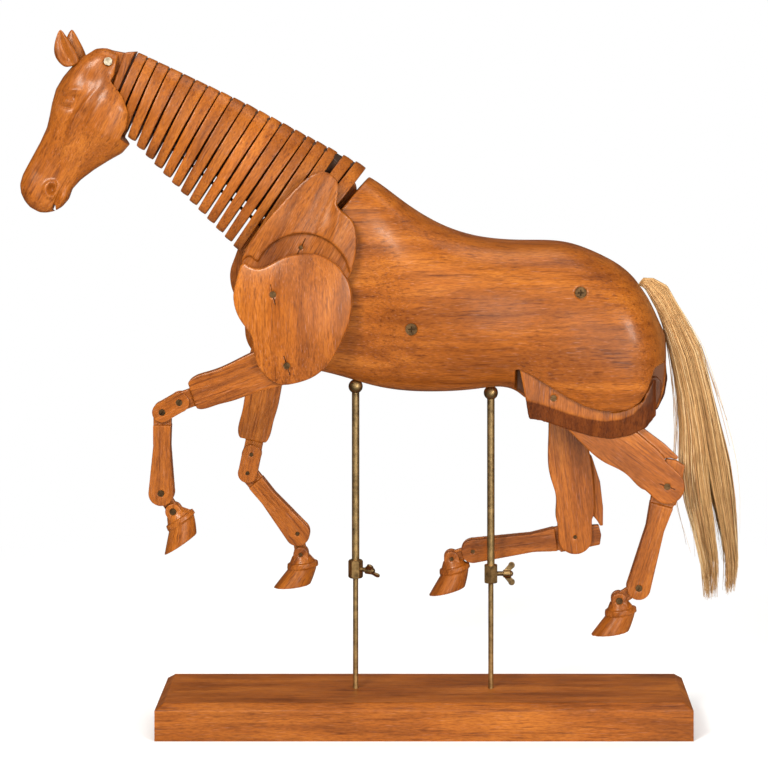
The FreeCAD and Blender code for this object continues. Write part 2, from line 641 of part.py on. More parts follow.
def build_humerus(shoulder_home, elbow_home):
    """Round domed plate over the shoulder, with a countersunk screw at each pivot."""
    arm = prism(humerus_outline(), -55, -HUMERUS_INNER, True)
    arm = arm.common(dome(-107, 346, 70, -HUMERUS_INNER, 13.5))
    for x, z in (shoulder_home, elbow_home):
        arm = cut(arm, disc(x, z, SHANK_R, -60, -30),
                  disc(x, z, HEAD_R, -60, -HUMERUS_SCREW_FACE + HEAD_DEPTH))
    screws = Part.makeCompound([
        slotted_screw(*shoulder_home, -HUMERUS_SCREW_FACE, -SCAPULA_INNER - 0.1),
        slotted_screw(*elbow_home, -HUMERUS_SCREW_FACE, -LEG_Y + 4)])
    return arm, screws


def build_forearm():
    """Tapering bar with a tongue below for the knee plates."""
    length = FOREARM_LENGTH
    shoulder_z = -length + FOREARM_SHOULDER
    bar = prism(((-15, 8), (-18.5, -8), (-17.6, -32), (-15.3, -63), (-12.5, -83), (9.5, -83),
                 (12.4, -67), (13.6, -53), (13.5, -30), (15.5, -8), (11, 11), (-2, 16)),
                -FOREARM_HALF, FOREARM_HALF, True)
    bar = bar.common(box(-40, 40, -FOREARM_HALF, FOREARM_HALF, shoulder_z, 40))
    tongue = fuse(disc(0, -length, KNEE_TONGUE_R, -TONGUE_HALF, TONGUE_HALF),
                  box(-KNEE_TONGUE_R, KNEE_TONGUE_R, -TONGUE_HALF, TONGUE_HALF, -length, shoulder_z + 2))
    pivot_r = SHANK_R + PIN_CLEARANCE
    return cut(fuse(bar, tongue), disc(0, 0, pivot_r, -20, 20), disc(0, -length, pivot_r, -20, 20))


def build_knee():
    """The two linking plates and the screws through them."""
    outer = knee_plate(-KNEE_PLATE_OUTER, -KNEE_PLATE_INNER)
    inner = knee_plate(KNEE_PLATE_INNER, KNEE_PLATE_OUTER)
    screws = []
    for z in (0, -KNEE_LENGTH):
        outer = outer.cut(disc(0, z, HEAD_R, -20, -KNEE_PLATE_OUTER + HEAD_DEPTH))
        screws.append(slotted_screw(0, z, -KNEE_PLATE_OUTER, KNEE_PLATE_OUTER - 0.2))
    return Part.makeCompound([outer, inner]), Part.makeCompound(screws)


def build_front_leg(rest):
    """Pieces of one front leg in its rest pose, built on the left side."""
    shoulder_home = next_pivot(SCAPULA_PIVOT, SCAPULA_HANG, SCAPULA_TO_SHOULDER)
    elbow_home = next_pivot(shoulder_home, HUMERUS_HANG, HUMERUS_LENGTH)
    blade = build_scapula(shoulder_home)
    arm, arm_screws = build_humerus(shoulder_home, elbow_home)
    knee_links, knee_screws = build_knee()
    pastern, pastern_screws, hoof = build_foot(FRONT_PASTERN_LENGTH, FRONT_CANNON_HALF)
    shoulder = next_pivot(SCAPULA_PIVOT, SCAPULA_HANG + rest["scapula"], SCAPULA_TO_SHOULDER)
    elbow = next_pivot(shoulder, HUMERUS_HANG + rest["humerus"], HUMERUS_LENGTH)
    knee_up = next_pivot(elbow, rest["forearm"], FOREARM_LENGTH)
    knee_low = next_pivot(knee_up, rest["knee"], KNEE_LENGTH)
    fetlock = next_pivot(knee_low, rest["cannon"], FRONT_CANNON_LENGTH)
    coffin = next_pivot(fetlock, rest["pastern"], FRONT_PASTERN_LENGTH)
    pieces = {
        "scapula": turned(blade, SCAPULA_PIVOT, rest["scapula"]),
        "humerus": turned(arm, shoulder_home, rest["humerus"]),
        "humerus_screws": turned(arm_screws, shoulder_home, rest["humerus"]),
        "forearm": place(build_forearm(), rest["forearm"], elbow),
        "knee_links": place(knee_links, rest["knee"], knee_up),
        "knee_screws": place(knee_screws, rest["knee"], knee_up),
        "front_cannon": place(build_front_cannon(), rest["cannon"], knee_low),
        "front_pastern": place(pastern, rest["pastern"], fetlock),
        "front_pastern_screws": place(pastern_screws, rest["pastern"], fetlock),
        "front_hoof": place(hoof, rest["hoof"], coffin),
    }
    for name in pieces:
        if name in ("humerus", "humerus_screws"):
            pieces[name].translate(Vector(shoulder[0] - shoulder_home[0], 0,
                                          shoulder[1] - shoulder_home[1]))
        elif name != "scapula":
            pieces[name] = shift_y(pieces[name], -LEG_Y)
    return pieces


# ---- hind leg ----

def build_thigh():
    """Board inside the haunch; only its lower rim reaches out to the haunch's surface."""
    outline = ((78.9, 301.7), (84.1, 277), (86.6, 261), (97, 259.5), (119, 252), (138, 246.6),
               (154, 244.1), (170.5, 247), (184, 253.5), (192, 264), (197, 277), (198, 289),
               (187.5, 302), (182, 318), (179, 342), (163, 360), (146, 364.5), (126, 358), (113, 343),
               (108, 326), (94, 312))
    board = prism(outline, -THIGH_OUTER, -THIGH_INNER)
    low = board.common(plan_prism(THIGH_PLAN_LOW))
    rim = low.cut(disc(*HIP, THIGH_WIDE_R, -60, 0))
    heel = low.common(prism(THIGH_HEEL, -60, 0))
    board = fuse(board.common(plan_prism(THIGH_PLAN)), rim, heel)
    outlines = []
    for y, points in ((-THIGH_OUTER, THIGH_BEVEL_FACE), (-THIGH_BEVEL_Y, THIGH_BEVEL_EDGE)):
        corners = [Vector(x, y, z) for x, z in points]
        outlines.append(Part.makePolygon(corners + [corners[0]]))
    bevelled = Part.makeLoft(outlines, True, True)
    inner = box(60, 240, -THIGH_BEVEL_Y, 0, 200, 400)
    board = board.common(bevelled.fuse(inner))
    stifle = next_pivot(HIP, THIGH_HANG, THIGH_LENGTH)
    return cut(board, box(60, 240, -THIGH_SLOT[1], -THIGH_SLOT[0], 200, THIGH_SLOT_TOP_Z),
               disc(*HIP, HIP_PIN_R + PIN_CLEARANCE, -60, -10),
               disc(*stifle, SHANK_R + PIN_CLEARANCE, -60, -THIGH_INNER - 1),
               disc(*stifle, HEAD_R + SIDE_GAP, -60, -THIGH_OUTER + HEAD_DEPTH + PIN_CLEARANCE))


def build_gaskin():
    """Two cheeks joined above, with a thin centre ply that juts out behind, over the hock."""
    length = GASKIN_LENGTH
    outline = ((-14.5, 0), (-13.8, -27), (-16.5, -50), (-16.5, -66), (-13, -88), (-13.2, -108),
               (14, -108), (19, -90), (19.5, -66), (18, -40), (16, -10), (8, 12), (-7, 12))
    foot = prism(((-13.2, -100), (16, -100), (HOCK_R, -length), (-HOCK_R, -length)),
                 -GASKIN_HALF, GASKIN_HALF)
    body = fuse(prism(outline, -GASKIN_HALF, GASKIN_HALF, True), foot,
                disc(0, -length, HOCK_R, -GASKIN_HALF, GASKIN_HALF),
                prism(((8, -38), (20.5, -54), (25.5, -76), (26, -98), (24.5, -113), (8, -113)),
                      -HOCK_TONGUE_HALF, HOCK_TONGUE_HALF))
    slot = fuse(disc(0, -length, HOCK_ROOM_R, -HOCK_SLOT_HALF, HOCK_SLOT_HALF),
                box(-40, 40, -HOCK_SLOT_HALF, HOCK_SLOT_HALF, -180, -length))
    return cut(body, slot, disc(0, 0, SHANK_R, -20, 20), disc(0, -length, SHANK_R, -20, 20),
               disc(0, -length, HEAD_R, -20, -GASKIN_HALF + HEAD_DEPTH))


def build_hind_cannon():
    """Tongue and point of hock inside the gaskin's slot, shaft, fork at the fetlock."""
    length = HIND_CANNON_LENGTH
    side = link_side(length, 11.5, 9.8, 7.6)
    shaft = side.common(box(-40, 40, -HIND_CANNON_HALF, HIND_CANNON_HALF, -length - 20, -HOCK_R - 2))
    heel = prism(((-8, 8), (-6.5, 21.4), (2, 22.3), (10, 20), (11.5, 0), (11.5, -14), (-9, -14)),
                 -HOCK_TONGUE_HALF, HOCK_TONGUE_HALF)
    tongue = side.common(box(-40, 40, -HOCK_TONGUE_HALF, HOCK_TONGUE_HALF, -20, 40))
    cannon = slotted_foot(fuse(shaft, tongue, heel), length)
    return cut(cannon, disc(0, 0, SHANK_R + PIN_CLEARANCE, -20, 20),
               screw_room(0, -length, -HIND_CANNON_HALF, HIND_CANNON_HALF))


def build_hind_leg(rest):
    """Pieces of one hind leg in its rest pose, built on the left side."""
    thigh = build_thigh()
    gaskin = build_gaskin()
    stifle_screw = slotted_screw(0, 0, -THIGH_OUTER + HIND_Y, 9.5)
    hock_screw = slotted_screw(0, -GASKIN_LENGTH, -GASKIN_HALF, GASKIN_HALF - 1)
    cannon = build_hind_cannon()
    pastern, pastern_screws, hoof = build_foot(HIND_PASTERN_LENGTH, HIND_CANNON_HALF)
    knee = next_pivot(HIP, THIGH_HANG + rest["thigh"], THIGH_LENGTH)
    hock = next_pivot(knee, rest["gaskin"], GASKIN_LENGTH)
    fetlock = next_pivot(hock, rest["cannon"], HIND_CANNON_LENGTH)
    coffin = next_pivot(fetlock, rest["pastern"], HIND_PASTERN_LENGTH)
    pieces = {
        "thigh": turned(thigh, HIP, rest["thigh"]),
        "gaskin": place(gaskin, rest["gaskin"], knee),
        "gaskin_screws": place(Part.makeCompound([stifle_screw, hock_screw]), rest["gaskin"], knee),
        "hind_cannon": place(cannon, rest["cannon"], hock),
        "hind_pastern": place(pastern, rest["pastern"], fetlock),
        "hind_pastern_screws": place(pastern_screws, rest["pastern"], fetlock),
        "hind_hoof": place(hoof, rest["hoof"], coffin),
    }
    for name in pieces:
        if name != "thigh":
            pieces[name] = shift_y(pieces[name], -HIND_Y)
    return pieces


def build_neck():
    """Wedge slices grouped two by two from the head, then three, then the two widely set ones."""
    slices = [slice_solid(*slice_corners(index)) for index in range(len(SLICE_TOPS) - 1)]
    slices.append(wide_slice(*SLICE_R, 28))
    slices.append(wide_slice(*SLICE_S, 29))
    groups = {"neck_" + str(group): slices[2 * group - 2:2 * group] for group in range(1, 8)}
    groups["neck_8"] = slices[14:17]
    groups["neck_9"] = slices[17:]
    return groups


def main():
    save("base_board", build_base())
    save("stand_rods", Part.makeCompound([build_rod(FRONT_BALL), build_rod(REAR_BALL)]))
    front_angle = math.radians(-30)
    save("front_tube", build_tube(FRONT_BALL, FRONT_COLLAR_Z))
    save("rear_tube", build_tube(REAR_BALL, REAR_COLLAR_Z))
    save("front_collar", build_collar(FRONT_BALL, FRONT_COLLAR_Z, front_angle, 0))
    save("rear_collar", build_collar(REAR_BALL, REAR_COLLAR_Z, 0.0, 30))
    save("front_wing_screw", build_wing_screw(FRONT_BALL, FRONT_COLLAR_Z, front_angle, 50))
    save("rear_wing_screw", build_wing_screw(REAR_BALL, REAR_COLLAR_Z, 0.0, 0))
    block = build_trunk_block()
    save("trunk_core", build_core(block))
    flank = build_flank(block)
    save_sides("flank", flank, flank)
    save("trunk_screws", build_trunk_screws())
    save("tail", build_tail())
    save("head", build_head())
    save("ears", Part.makeCompound([build_ear(-1), build_ear(1)]))
    save("poll_block", build_poll_block())
    save("head_screw", build_head_screw())
    for name, slices in build_neck().items():
        save(name, Part.makeCompound(slices))
    for builder, left_rest, right_rest in ((build_front_leg, LEFT_FRONT, RIGHT_FRONT),
                                           (build_hind_leg, LEFT_HIND, RIGHT_HIND)):
        left = builder(left_rest)
        right = builder(right_rest)
        for name in left:
            save_sides(name, left[name], right[name])


main()
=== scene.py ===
import json
import math
import random

import bpy
import numpy as np
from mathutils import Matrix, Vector


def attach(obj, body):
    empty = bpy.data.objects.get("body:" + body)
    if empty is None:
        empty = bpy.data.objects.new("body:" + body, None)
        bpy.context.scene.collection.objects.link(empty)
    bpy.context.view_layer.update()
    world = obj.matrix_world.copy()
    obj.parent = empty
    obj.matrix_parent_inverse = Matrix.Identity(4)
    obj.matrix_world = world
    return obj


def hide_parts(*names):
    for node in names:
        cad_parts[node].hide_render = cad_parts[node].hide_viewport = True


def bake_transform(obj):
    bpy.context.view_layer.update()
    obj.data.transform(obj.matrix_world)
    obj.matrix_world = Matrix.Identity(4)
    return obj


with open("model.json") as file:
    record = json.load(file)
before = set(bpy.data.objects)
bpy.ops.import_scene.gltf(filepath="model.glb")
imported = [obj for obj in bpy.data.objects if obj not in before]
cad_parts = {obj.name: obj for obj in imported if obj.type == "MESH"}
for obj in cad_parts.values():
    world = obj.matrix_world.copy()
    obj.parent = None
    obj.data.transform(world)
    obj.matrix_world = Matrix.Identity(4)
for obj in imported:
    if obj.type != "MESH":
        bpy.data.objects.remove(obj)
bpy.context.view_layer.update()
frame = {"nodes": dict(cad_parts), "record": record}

MM = 0.001                       # the script's own lengths are millimetres
BOARD_Y = 0.014                  # glue lines of the trunk's middle board, metres
WOOD_DARK = (0.150, 0.036, 0.0032)
WOOD_MIDDLE = (0.290, 0.080, 0.0066)
WOOD_LIGHT = (0.410, 0.130, 0.0145)
PAINTED_SHADE = (0.42, 0.33, 0.26)     # painted shade: multiplies the wood where a piece's attribute marks it as shaded
WHITE = (1, 1, 1)
rng = random.Random(7)
nodes = frame["nodes"]
node_body = {n: b for b, ns in frame["record"]["behaviour"]["bodies"].items() for n in ns}


# ---- materials ----

def new_material(name):
    mat = bpy.data.materials.new(name)
    mat.use_nodes = True
    tree = mat.node_tree
    tree.nodes.clear()
    out = tree.nodes.new("ShaderNodeOutputMaterial")
    bsdf = tree.nodes.new("ShaderNodeBsdfPrincipled")
    tree.links.new(bsdf.outputs[0], out.inputs[0])
    return mat, tree, bsdf


def add_node(tree, kind, **settings):
    node = tree.nodes.new(kind)
    for key, value in settings.items():
        if key in node.inputs:
            node.inputs[key].default_value = value
        else:
            setattr(node, key, value)
    return node


def ramp(tree, fac, stops):
    node = tree.nodes.new("ShaderNodeValToRGB")
    bar = node.color_ramp
    while len(bar.elements) < len(stops):
        bar.elements.new(0.5)
    for element, (pos, colour) in zip(bar.elements, stops):
        element.position = pos
        element.color = (*colour, 1) if len(colour) == 3 else colour
    tree.links.new(fac, node.inputs[0])
    return node.outputs[0]


def mix(tree, kind, fac, a, b):
    node = tree.nodes.new("ShaderNodeMix")
    node.data_type = "RGBA"
    node.blend_type = kind
    for socket, value in ((node.inputs[0], fac), (node.inputs[6], a), (node.inputs[7], b)):
        if hasattr(value, "is_linked"):
            tree.links.new(value, socket)
        elif isinstance(value, tuple):
            socket.default_value = (*value, 1)
        else:
            socket.default_value = value
    return node.outputs[2]


def noise(tree, vector, scale, detail=4.0, rough=0.55, distortion=0.0):
    node = add_node(tree, "ShaderNodeTexNoise")
    node.inputs["Scale"].default_value = scale
    node.inputs["Detail"].default_value = detail
    node.inputs["Roughness"].default_value = rough
    node.inputs["Distortion"].default_value = distortion
    tree.links.new(vector, node.inputs["Vector"])
    return node.outputs[0]


def stretched(tree, source, grain, along, seed):
    """Coordinates with the grain on X, squeezed along it so that patterns run as streaks."""
    turn = Vector(grain).normalized().rotation_difference(Vector((1, 0, 0))).to_euler()
    first = tree.nodes.new("ShaderNodeMapping")
    first.inputs["Rotation"].default_value = turn
    first.inputs["Location"].default_value = (seed * 0.37, seed * 0.73, seed * 0.19)
    tree.links.new(source, first.inputs["Vector"])
    second = tree.nodes.new("ShaderNodeMapping")
    second.inputs["Scale"].default_value = (along, 1, 1)
    tree.links.new(first.outputs[0], second.inputs["Vector"])
    return second.outputs[0]


def wood_figure(tree, coord, broad, fine, tone):
    """Colour of the grain: broad figure, growth bands, dark pores, pale flecks and patches."""
    dark, middle, light = (tuple(c * tone for c in shade) for shade in (WOOD_DARK, WOOD_MIDDLE, WOOD_LIGHT))
    base = ramp(tree, noise(tree, broad, 42, 5, 0.6, 0.6), ((0.25, dark), (0.5, middle), (0.74, light)))
    bands = add_node(tree, "ShaderNodeTexWave", bands_direction="Z")
    for setting, value in (("Scale", 26), ("Distortion", 9), ("Detail", 3), ("Detail Scale", 1.4)):
        bands.inputs[setting].default_value = value
    tree.links.new(broad, bands.inputs["Vector"])
    ring_stops = ((0.0, (0.80, 0.74, 0.68)), (0.55, WHITE), (1, (1.0, 0.97, 0.92)))
    base = mix(tree, "MULTIPLY", 0.75, base, ramp(tree, bands.outputs["Fac"], ring_stops))
    streaks = noise(tree, fine, 620, 3, 0.6)
    pores = ramp(tree, streaks, ((0.34, (0.42, 0.32, 0.25)), (0.45, WHITE)))
    base = mix(tree, "MULTIPLY", 0.72, base, pores)
    flecks = ramp(tree, noise(tree, fine, 1500, 2, 0.5), ((0.6, (0, 0, 0)), (0.78, WHITE)))
    base = mix(tree, "ADD", 0.06, base, flecks)
    speckle_stops = ((0.36, (0.60, 0.52, 0.44)), (0.58, (1.16, 1.16, 1.14)))
    base = mix(tree, "MULTIPLY", 0.55, base, ramp(tree, noise(tree, broad, 1100, 2, 0.6), speckle_stops))
    patches = ramp(tree, noise(tree, coord, 9, 2), ((0.3, (0.84, 0.80, 0.77)), (0.7, (1.08, 1.05, 1.0))))
    return mix(tree, "MULTIPLY", 0.8, base, patches), streaks, dark


def glue_line(tree, coord, base, seam_y, dark):
    """Thin dark line where two boards meet, at one width position in metres."""
    split = add_node(tree, "ShaderNodeSeparateXYZ")
    tree.links.new(coord, split.inputs[0])
    near = add_node(tree, "ShaderNodeMath", operation="COMPARE")
    near.inputs[1].default_value = seam_y
    near.inputs[2].default_value = 0.00018
    tree.links.new(split.outputs[1], near.inputs[0])
    return mix(tree, "MIX", near.outputs[0], base, dark)


def add_bump(tree, bsdf, height, strength, distance=0.001):
    bump = add_node(tree, "ShaderNodeBump")
    bump.inputs["Strength"].default_value = strength
    bump.inputs["Distance"].default_value = distance
    tree.links.new(height, bump.inputs["Height"])
    tree.links.new(bump.outputs[0], bsdf.inputs["Normal"])


def wood(name, grain, seed, tone=1.0, dull=0.0, seams=()):
    """Oiled wood: figure along the grain, dark hollows, worn edges and uneven shine."""
    mat, tree, bsdf = new_material(name)
    coord = add_node(tree, "ShaderNodeTexCoord").outputs["Object"]
    broad = stretched(tree, coord, grain, 0.16, seed)
    fine = stretched(tree, coord, grain, 0.045, seed)
    base, streaks, dark = wood_figure(tree, coord, broad, fine, tone)
    for seam_y in seams:
        base = glue_line(tree, coord, base, seam_y, dark)
    # darker in hollows and lighter on sharp edges, following the mesh's curvature
    curvature = add_node(tree, "ShaderNodeNewGeometry").outputs["Pointiness"]
    edges = ramp(tree, curvature, ((0.42, (0.34, 0.27, 0.23)), (0.492, WHITE), (0.53, WHITE),
                              (0.62, (1.35, 1.25, 1.1))))
    base = mix(tree, "MULTIPLY", 0.75, base, edges)
    # painted shade from the piece's attribute: the thigh below its pale crescent
    tarnish_and_shade = add_node(tree, "ShaderNodeAttribute", attribute_name="tarnish_and_shade").outputs["Fac"]
    base = mix(tree, "MULTIPLY", tarnish_and_shade, base, PAINTED_SHADE)
    tree.links.new(base, bsdf.inputs["Base Color"])
    shine = ramp(tree, noise(tree, broad, 60, 3), ((0.3, (0.31 + dull,) * 3), (0.75, (0.46 + dull,) * 3)))
    tree.links.new(shine, bsdf.inputs["Roughness"])
    bsdf.inputs["Specular IOR Level"].default_value = 0.34
    bsdf.inputs["Specular Tint"].default_value = (1.0, 0.84, 0.66, 1)
    bsdf.inputs["Coat Weight"].default_value = 0.12 * (1 - dull * 2)
    bsdf.inputs["Coat Roughness"].default_value = 0.17
    add_bump(tree, bsdf, streaks, 0.4, 0.00025)
    return mat


def metal(name, colour, tarnish_and_shade, rough, seed):
    """Aged metal: blotches, dark specks, rubbed edges."""
    mat, tree, bsdf = new_material(name)
    coord = add_node(tree, "ShaderNodeTexCoord").outputs["Object"]
    blotch = noise(tree, coord, 140 + seed, 6, 0.65)
    base = ramp(tree, blotch, ((0.32, tarnish_and_shade), (0.58, colour), (0.8, tuple(c * 1.25 for c in colour))))
    specks = ramp(tree, noise(tree, coord, 900, 2), ((0.3, (0.35, 0.32, 0.26)), (0.42, WHITE)))
    base = mix(tree, "MULTIPLY", 0.5, base, specks)
    curvature = add_node(tree, "ShaderNodeNewGeometry").outputs["Pointiness"]
    edges = ramp(tree, curvature, ((0.44, (0.5, 0.46, 0.4)), (0.5, WHITE), (0.58, (1.4, 1.35, 1.2))))
    base = mix(tree, "MULTIPLY", 0.8, base, edges)
    tree.links.new(base, bsdf.inputs["Base Color"])
    bsdf.inputs["Metallic"].default_value = 1.0
    matte = ramp(tree, noise(tree, coord, 260, 4), ((0.3, (rough,) * 3), (0.7, (rough + 0.2,) * 3)))
    tree.links.new(matte, bsdf.inputs["Roughness"])
    add_bump(tree, bsdf, blotch, 0.15, 0.0001)
    return mat


def fibre(name):
    """Straw-coloured hair, each strand with its own shade in the "strand" attribute."""
    mat, tree, bsdf = new_material(name)
    shade = add_node(tree, "ShaderNodeAttribute", attribute_name="strand").outputs["Fac"]
    base = ramp(tree, shade, ((0.0, (0.22, 0.09, 0.026)), (0.35, (0.46, 0.24, 0.080)),
                              (0.75, (0.66, 0.41, 0.17)), (1.0, (0.86, 0.66, 0.38))))
    coord = add_node(tree, "ShaderNodeTexCoord").outputs["Object"]
    patches = ramp(tree, noise(tree, coord, 160, 3), ((0.3, (0.72, 0.62, 0.5)), (0.6, WHITE)))
    base = mix(tree, "MULTIPLY", 0.5, base, patches)
    tree.links.new(base, bsdf.inputs["Base Color"])
    rough = ramp(tree, noise(tree, coord, 300, 2), ((0.3, (0.42,) * 3), (0.7, (0.62,) * 3)))
    tree.links.new(rough, bsdf.inputs["Roughness"])
    bump = add_node(tree, "ShaderNodeBump")
    bump.inputs["Strength"].default_value = 0.1
    tree.links.new(shade, bump.inputs["Height"])
    tree.links.new(bump.outputs[0], bsdf.inputs["Normal"])
    return mat


# ---- meshes ----

def mesh_object(name, verts, faces):
    mesh = bpy.data.meshes.new(name)
    mesh.from_pydata([tuple(v) for v in verts], [], [tuple(f) for f in faces])
    mesh.update()
    obj = bpy.data.objects.new(name, mesh)
    bpy.context.scene.collection.objects.link(obj)
    return obj


def vertices(mesh):
    flat = np.empty(len(mesh.vertices) * 3)
    mesh.vertices.foreach_get("co", flat)
    return flat.reshape(-1, 3)


def set_vertices(mesh, coords):
    mesh.vertices.foreach_set("co", coords.ravel())
    mesh.update()


def joined(name, sources):
    verts, faces = [], []
    for source in sources:
        start = len(verts)
        verts += [tuple(v.co) for v in source.data.vertices]
        faces += [[start + i for i in p.vertices] for p in source.data.polygons]
    return mesh_object(name, verts, faces)


def baked(obj):
    """Applies the modifiers into the object's own new mesh."""
    graph = bpy.context.evaluated_depsgraph_get()
    mesh = bpy.data.meshes.new_from_object(obj.evaluated_get(graph))
    obj.modifiers.clear()
    obj.data = mesh
    return obj


def remesh(obj, voxel):
    change = obj.modifiers.new("remesh", "REMESH")
    change.mode = "VOXEL"
    change.voxel_size = voxel * MM
    change.use_smooth_shade = True
    return baked(obj)


def soften(obj, rounds, factor=0.5):
    change = obj.modifiers.new("soft", "SMOOTH")
    change.factor = factor
    change.iterations = rounds
    baked(obj)
    for face in obj.data.polygons:
        face.use_smooth = True
    return obj


def long_axis(obj):
    """Direction in which the piece is longest, which is where its grain runs."""
    points = vertices(obj.data)
    values, axes = np.linalg.eigh(np.cov((points - points.mean(0)).T))
    return tuple(axes[:, values.argmax()])


def swell(obj, distance):
    """Moves every vertex outwards."""
    coords = vertices(obj.data)
    normals = np.array([v.normal for v in obj.data.vertices])
    set_vertices(obj.data, coords + normals * distance * MM)


def finish_piece(obj, body, material, slot_name, *replaced):
    obj.data.materials.clear()
    obj.data.materials.append(material)
    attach(obj, body)
    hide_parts(*replaced)
    return obj


def carve(piece_name, names, voxel, rounds, grain=None, tone=1.0, dull=0.0, seams=(), slot_name="body_wood",
          shaping=None):
    """Softly rounded wooden copy of one or more CAD nodes of one body."""
    obj = joined(piece_name, [nodes[n] for n in names])
    remesh(obj, voxel)
    soften(obj, rounds)
    if shaping:
        shaping(obj)
    seed = rng.uniform(0, 9)
    own_tone = tone * rng.uniform(0.93, 1.07)
    material = wood("wood_" + piece_name, grain or long_axis(obj), seed, own_tone, dull, seams)
    return finish_piece(obj, node_body[names[0]], material, slot_name, *names)


# ---- head ----

HEAD_PIVOT = (-263.6, 556.6)     # axis of the screw through the poll block
HEAD_LEAN = math.radians(-28.1)  # turns the head's own upright axis into the frame
HEAD_ROWS = (
    # distance up the head's axis, front, back, half width
    (8.6, -7, 7, 7), (7, -12, 12, 11), (4, -16, 14.5, 14), (-1, -18.5, 14.5, 16), (-8, -22.5, 15, 17.5),
    (-14, -25, 23, 18.5), (-20, -26.4, 34, 19.5), (-30, -28.6, 42.5, 20.5), (-42, -29.2, 46.6, 21),
    (-54, -26.5, 47.3, 20.8), (-64, -23.4, 45, 19), (-74, -20.7, 38.5, 16.6), (-87, -19.9, 31, 13.6),
    (-100, -20, 25, 11.6), (-110, -20.1, 22.5, 11), (-119, -20, 23.8, 11.8), (-127, -18.2, 22, 12),
    (-133, -14, 18.5, 10.8), (-137.5, -8, 13, 8), (-140, -2, 8, 4),
)


def head_point(u, across, w):
    """Head's own axes (u towards the neck, w up) to metres in the frame."""
    x = HEAD_PIVOT[0] + u * math.cos(HEAD_LEAN) - w * math.sin(HEAD_LEAN)
    z = HEAD_PIVOT[1] + u * math.sin(HEAD_LEAN) + w * math.cos(HEAD_LEAN)
    return x * MM, across * MM, z * MM


def bump_at(u, w, centre, radius_u, radius_w=None, power=2.0, turn=0.0):
    du, dw = u - centre[0], w - centre[1]
    along = du * math.cos(turn) + dw * math.sin(turn)
    across = -du * math.sin(turn) + dw * math.cos(turn)
    reach = (along / radius_u) ** 2 + (across / (radius_w or radius_u)) ** 2
    return np.exp(-reach ** (power / 2))


def loft_faces(rows, ring):
    """Quads between equal rings of points, closed at both ends."""
    faces = []
    for row in range(rows - 1):
        for step in range(ring):
            a, b = row * ring + step, row * ring + (step + 1) % ring
            faces.append((a, b, b + ring, a + ring))
    faces.append(tuple(reversed(range(ring))))
    faces.append(tuple(range((rows - 1) * ring, rows * ring)))
    return faces


def head_shape():
    """Rounded-square rings along the head's axis."""
    rings = 40
    fine_rows = []
    heights = [row[0] for row in HEAD_ROWS]
    for w in np.linspace(heights[0], heights[-1], 110):
        values = [np.interp(-w, [-h for h in heights], [row[k] for row in HEAD_ROWS]) for k in (1, 2, 3)]
        fine_rows.append((w, *values))
    verts = []
    for w, front, back, half in fine_rows:
        centre, depth = (front + back) / 2, (back - front) / 2
        for step in range(rings):
            turn = 2 * math.pi * step / rings
            c, s = math.cos(turn), math.sin(turn)
            power = 2 / 2.7
            u = centre + depth * math.copysign(abs(c) ** power, c)
            across = half * math.copysign(abs(s) ** power, s)
            verts.append(head_point(u, across, w))
    return mesh_object("head_carved", verts, loft_faces(len(fine_rows), rings))


CHEEK = (23, -43)
NOSTRIL = (8.5, -117)
HEAD_BUMPS = (
    # height, centre, radius along, radius across, power, turn in degrees
    (-0.8, (8, -58), 20, 3.4, 2, -77),           # groove below the cheek
    (1.9, (0, -66), 19, 2.9, 2, -77),            # facial ridge
    (-1.7, (2, -96), 9, 15, 2, 0),               # hollow above the nostril
    (-2.9, (-14.5, -45), 9, 6.5, 2, 0),          # eye socket
    (1.9, (-16.5, -35.5), 8, 3.0, 2, 25),        # brow
    (-1.5, (-6, -21), 8, 7, 2, 0),               # temple
    (4.0, (-14.5, -45.5), 5.0, 3.6, 3, 20),      # eyeball
    (-1.1, (-14.5, -50.4), 6, 0.9, 2, 15),       # lower lid
    (-1.1, (-15.0, -40.8), 6.2, 0.9, 2, 22),     # upper lid
    (-4.2, (8.5, -117.5), 4.2, 2.5, 2.6, -60),   # nostril opening
    (-3.6, (16.5, -125), 11, 1.7, 2, 97),        # mouth line
    (1.6, (0, -42), 15, 2.6, 2, 81),             # muscle before the cheek
    (-1.3, (5.5, -45), 15, 2.4, 2, 81),          # grooves on both its sides
    (-1.1, (-4.8, -46), 13, 2.2, 2, 81),
    (1.7, (22, -119), 4.6, 8, 2, 0),             # chin
    (0.8, (4, -131), 9, 4, 2, 0),                # upper lip
)


def sculpt_head(obj):
    """Pushes the sides of the head in and out; the ridge of the nose and the jaw's edge stay."""
    coords = vertices(obj.data) / MM
    dx, dz = coords[:, 0] - HEAD_PIVOT[0], coords[:, 2] - HEAD_PIVOT[1]
    c, s = math.cos(HEAD_LEAN), math.sin(HEAD_LEAN)
    u, w, y = dx * c + dz * s, -dx * s + dz * c, coords[:, 1]
    push = np.zeros(len(u))
    cheek = np.hypot(u - CHEEK[0], w - CHEEK[1])
    push += 2.6 / (1 + np.exp((cheek - 20.5) / 3.2))
    nostril = np.hypot(u - NOSTRIL[0], w - NOSTRIL[1])
    push += 1.9 * np.exp(-((nostril - 5.6) / 2.2) ** 2) * (u + 0.35 * (w - NOSTRIL[1]) < 11.5)
    for height, centre, along, across, power, turn in HEAD_BUMPS:
        push += height * bump_at(u, w, centre, along, across, power, math.radians(turn))
    coords[:, 1] = y + np.sign(y) * push * np.clip(np.abs(y) / 7.0, 0, 1)
    set_vertices(obj.data, coords * MM)


def cylinder_y(x, z, radius, y0, y1, name="cutter"):
    bpy.ops.mesh.primitive_cylinder_add(vertices=48, radius=radius * MM, depth=(y1 - y0) * MM,
                                        location=(x * MM, (y0 + y1) / 2 * MM, z * MM),
                                        rotation=(math.pi / 2, 0, 0))
    bpy.context.object.name = name
    return bpy.context.object


